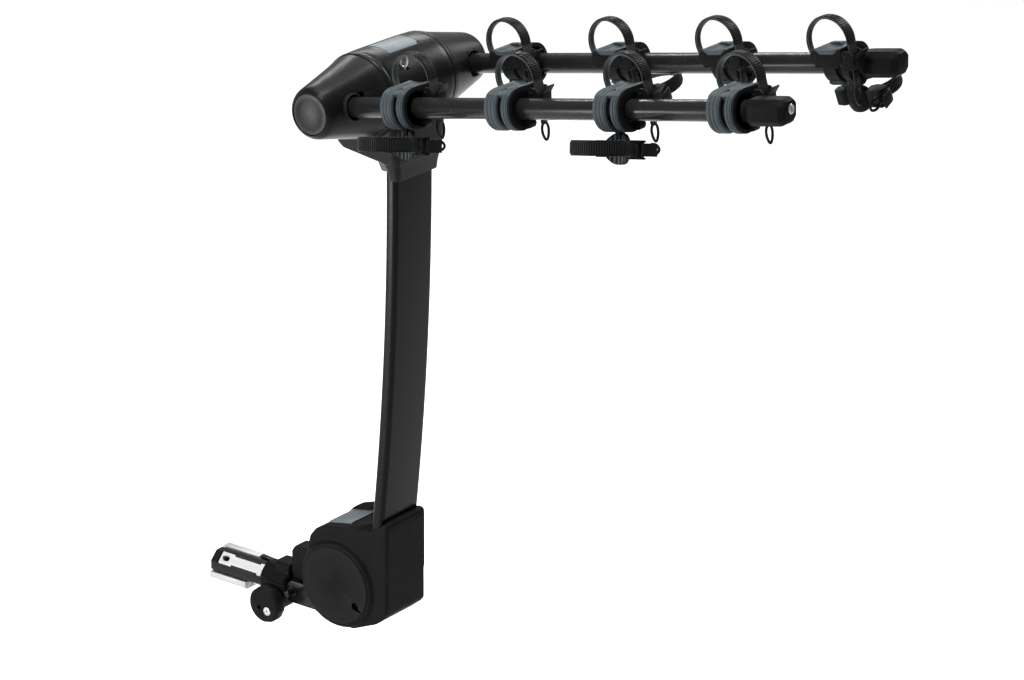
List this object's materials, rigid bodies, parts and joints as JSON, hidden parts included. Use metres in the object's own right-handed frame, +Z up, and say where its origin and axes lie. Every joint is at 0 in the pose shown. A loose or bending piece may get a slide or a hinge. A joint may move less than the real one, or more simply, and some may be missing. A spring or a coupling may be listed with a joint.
{
  "type": "hitch mounted bike rack",
  "caption": "Hanging bicycle rack for a tow-hitch receiver: tilting mast, folding arms with strapped cradles and anti-sway cages, and a shank tightened by a knob.",
  "frame": {"origin": "on the shank's axis, at the detent pin's station, which is the standard hitch-pin station", "axes": "+Y forward into the vehicle's receiver along the shank, +X to the right seen from behind the vehicle, +Z up"},
  "size_m": [0.448, 1.0985, 1.0485],
  "materials": {
    "black_steel": "satin black powder coat",
    "black_plastic": "fine-grained moulded black",
    "grey_plastic": "satin blue-grey",
    "grey_elastomer": "matt blue-grey elastomer",
    "strap_rubber": "matt black ladder strap",
    "bright_aluminium": "satin mill",
    "zinc_steel": "zinc plated",
    "lock_metal": "bright plated"
  },
  "bodies": {
    "hitch": {"shank_tube": "black_steel", "shim_side": "bright_aluminium", "shim_bottom": "bright_aluminium", "shim_screws": "zinc_steel", "shim_tether": "black_plastic", "shank_collar": "black_plastic", "pivot_yoke": "black_steel", "yoke_nose": "black_plastic", "yoke_bolts": "zinc_steel", "lock_nuts": "zinc_steel"},
    "expander": {"expander_plate": "bright_aluminium"},
    "detent": {"detent_pin": "zinc_steel"},
    "knob": {"knob": "black_plastic", "knob_screw": "zinc_steel"},
    "knob_lock": {"knob_lock_cylinder": "lock_metal"},
    "mast": {"mast_tube": "black_steel", "mast_foot": "black_steel", "pivot_bushings": "black_plastic", "base_housing": "black_plastic", "base_caps": "black_plastic", "cover_screws": "zinc_steel", "lever_pins": "zinc_steel", "head_bracket": "black_steel", "head_collar": "black_plastic", "head_cover_front": "black_plastic", "head_cover_rear": "black_plastic", "cable_eyelet": "zinc_steel"},
    "tilt_lever": {"tilt_lever": "grey_plastic"},
    "arm_lever": {"arm_lever": "grey_plastic"},
    "arms": {"cross_shaft": "zinc_steel", "arm_left": "black_steel", "arm_right": "black_steel", "cone_left": "black_plastic", "cone_right": "black_plastic", "arm_cap_left": "black_plastic", "arm_cap_right": "black_plastic", "cradle_bodies": "black_plastic", "cradle_pads": "grey_elastomer", "cradle_straps": "strap_rubber"},
    "cap_lock": {"cap_lock_cylinder": "lock_metal"},
    "buckle_lever_left_1": {"buckle_lever_left_1": "black_plastic"},
    "buckle_lever_left_2": {"buckle_lever_left_2": "black_plastic"},
    "buckle_lever_left_3": {"buckle_lever_left_3": "black_plastic"},
    "buckle_lever_left_4": {"buckle_lever_left_4": "black_plastic"},
    "buckle_lever_right_1": {"buckle_lever_right_1": "black_plastic"},
    "buckle_lever_right_2": {"buckle_lever_right_2": "black_plastic"},
    "buckle_lever_right_3": {"buckle_lever_right_3": "black_plastic"},
    "buckle_lever_right_4": {"buckle_lever_right_4": "black_plastic"},
    "cage_left_1": {"cage_frame_left_1": "black_plastic", "cage_strap_left_1": "strap_rubber"},
    "cage_lever_left_1": {"cage_lever_left_1": "black_plastic"},
    "cage_left_3": {"cage_frame_left_3": "black_plastic", "cage_strap_left_3": "strap_rubber"},
    "cage_lever_left_3": {"cage_lever_left_3": "black_plastic"},
    "cage_right_2": {"cage_frame_right_2": "black_plastic", "cage_strap_right_2": "strap_rubber"},
    "cage_lever_right_2": {"cage_lever_right_2": "black_plastic"},
    "cage_right_4": {"cage_frame_right_4": "black_plastic", "cage_strap_right_4": "strap_rubber"},
    "cage_lever_right_4": {"cage_lever_right_4": "black_plastic"}
  },
  "joints": [
    {"name": "mast_tilt", "type": "hinge", "parent": "hitch", "child": "mast", "pos_m": [0, -0.249, 0.048], "axis": [1, 0, 0], "range_deg": [0, 50]},
    {"name": "arms_fold", "type": "hinge", "parent": "mast", "child": "arms", "pos_m": [0, -0.3235, 0.8095], "axis": [1, 0, 0], "range_deg": [0, 95]},
    {"name": "knob_turn", "type": "hinge", "parent": "hitch", "child": "knob", "pos_m": [-0.035, -0.104, -0.026], "axis": [1, 0, 0], "range_deg": [0, 720]},
    {"name": "expander_slide", "type": "slide", "parent": "hitch", "child": "expander", "axis": [0, 1, 0], "range_m": [0, 0.004]},
    {"name": "knob_lock_turn", "type": "hinge", "parent": "knob", "child": "knob_lock", "pos_m": [-0.046, -0.1112, -0.0338], "axis": [1, 0, 0], "range_deg": [0, 90]},
    {"name": "detent_press", "type": "slide", "parent": "hitch", "child": "detent", "axis": [0.7071, 0, -0.7071], "range_m": [0, 0.005], "stiffness_N_per_m": 600},
    {"name": "tilt_lever_lift", "type": "hinge", "parent": "mast", "child": "tilt_lever", "pos_m": [0, -0.2245, 0.1306], "axis": [-1, 0, 0], "range_deg": [0, 25], "stiffness_Nm_per_rad": 0.6, "springref_deg": -5.73},
    {"name": "arm_lever_lift", "type": "hinge", "parent": "mast", "child": "arm_lever", "pos_m": [0, -0.31232, 0.86702], "axis": [-1, 0, 0], "range_deg": [0, 30], "stiffness_Nm_per_rad": 0.6, "springref_deg": -5.73},
    {"name": "cap_lock_turn", "type": "hinge", "parent": "arms", "child": "cap_lock", "pos_m": [-0.13215, -1.06815, 0.94573], "axis": [0, -0.9844, 0.1761], "range_deg": [0, 90]},
    {"name": "buckle_lever_left_1_lift", "type": "hinge", "parent": "arms", "child": "buckle_lever_left_1", "pos_m": [-0.10415, -0.49147, 0.85579], "axis": [-1, 0, 0], "range_deg": [0, 35], "stiffness_Nm_per_rad": 0.04, "springref_deg": -5.73},
    {"name": "buckle_lever_left_2_lift", "type": "hinge", "parent": "arms", "child": "buckle_lever_left_2", "pos_m": [-0.10415, -0.6665, 0.8871], "axis": [-1, 0, 0], "range_deg": [0, 35], "stiffness_Nm_per_rad": 0.04, "springref_deg": -5.73},
    {"name": "buckle_lever_left_3_lift", "type": "hinge", "parent": "arms", "child": "buckle_lever_left_3", "pos_m": [-0.10415, -0.84152, 0.9184], "axis": [-1, 0, 0], "range_deg": [0, 35], "stiffness_Nm_per_rad": 0.04, "springref_deg": -5.73},
    {"name": "buckle_lever_left_4_lift", "type": "hinge", "parent": "arms", "child": "buckle_lever_left_4", "pos_m": [-0.10415, -1.01654, 0.9497], "axis": [-1, 0, 0], "range_deg": [0, 35], "stiffness_Nm_per_rad": 0.04, "springref_deg": -5.73},
    {"name": "buckle_lever_right_1_lift", "type": "hinge", "parent": "arms", "child": "buckle_lever_right_1", "pos_m": [0.10415, -0.49147, 0.85579], "axis": [-1, 0, 0], "range_deg": [0, 35], "stiffness_Nm_per_rad": 0.04, "springref_deg": -5.73},
    {"name": "buckle_lever_right_2_lift", "type": "hinge", "parent": "arms", "child": "buckle_lever_right_2", "pos_m": [0.10415, -0.6665, 0.8871], "axis": [-1, 0, 0], "range_deg": [0, 35], "stiffness_Nm_per_rad": 0.04, "springref_deg": -5.73},
    {"name": "buckle_lever_right_3_lift", "type": "hinge", "parent": "arms", "child": "buckle_lever_right_3", "pos_m": [0.10415, -0.84152, 0.9184], "axis": [-1, 0, 0], "range_deg": [0, 35], "stiffness_Nm_per_rad": 0.04, "springref_deg": -5.73},
    {"name": "buckle_lever_right_4_lift", "type": "hinge", "parent": "arms", "child": "buckle_lever_right_4", "pos_m": [0.10415, -1.01654, 0.9497], "axis": [-1, 0, 0], "range_deg": [0, 35], "stiffness_Nm_per_rad": 0.04, "springref_deg": -5.73},
    {"name": "cage_left_1_swing", "type": "hinge", "parent": "arms", "child": "cage_left_1", "pos_m": [-0.13215, -0.45738, 0.83344], "axis": [0, 0.9844, -0.1761], "range_deg": [-10, 50]},
    {"name": "cage_lever_left_1_lift", "type": "hinge", "parent": "cage_left_1", "child": "cage_lever_left_1", "pos_m": [-0.15427, -0.50738, 0.79582], "axis": [-0.2588, -0.1701, -0.9508], "range_deg": [0, 30], "stiffness_Nm_per_rad": 0.04, "springref_deg": -5.73},
    {"name": "cage_left_3_swing", "type": "hinge", "parent": "arms", "child": "cage_left_3", "pos_m": [-0.13215, -0.80742, 0.89605], "axis": [0, 0.9844, -0.1761], "range_deg": [-10, 50]},
    {"name": "cage_lever_left_3_lift", "type": "hinge", "parent": "cage_left_3", "child": "cage_lever_left_3", "pos_m": [-0.15427, -0.85743, 0.85843], "axis": [-0.2588, -0.1701, -0.9508], "range_deg": [0, 30], "stiffness_Nm_per_rad": 0.04, "springref_deg": -5.73},
    {"name": "cage_right_2_swing", "type": "hinge", "parent": "arms", "child": "cage_right_2", "pos_m": [0.13215, -0.6324, 0.86475], "axis": [0, -0.9844, 0.1761], "range_deg": [-10, 50]},
    {"name": "cage_lever_right_2_lift", "type": "hinge", "parent": "cage_right_2", "child": "cage_lever_right_2", "pos_m": [0.15427, -0.6824, 0.82712], "axis": [-0.2588, 0.1701, 0.9508], "range_deg": [0, 30], "stiffness_Nm_per_rad": 0.04, "springref_deg": -5.73},
    {"name": "cage_right_4_swing", "type": "hinge", "parent": "arms", "child": "cage_right_4", "pos_m": [0.13215, -0.98244, 0.92735], "axis": [0, -0.9844, 0.1761], "range_deg": [-10, 50]},
    {"name": "cage_lever_right_4_lift", "type": "hinge", "parent": "cage_right_4", "child": "cage_lever_right_4", "pos_m": [0.15427, -1.03245, 0.88973], "axis": [-0.2588, 0.1701, 0.9508], "range_deg": [0, 30], "stiffness_Nm_per_rad": 0.04, "springref_deg": -5.73}
  ],
  "couplings": [
    {"joint": "expander_slide", "follows": "knob_turn", "m_per_rad": 0.00031799}
  ]
}
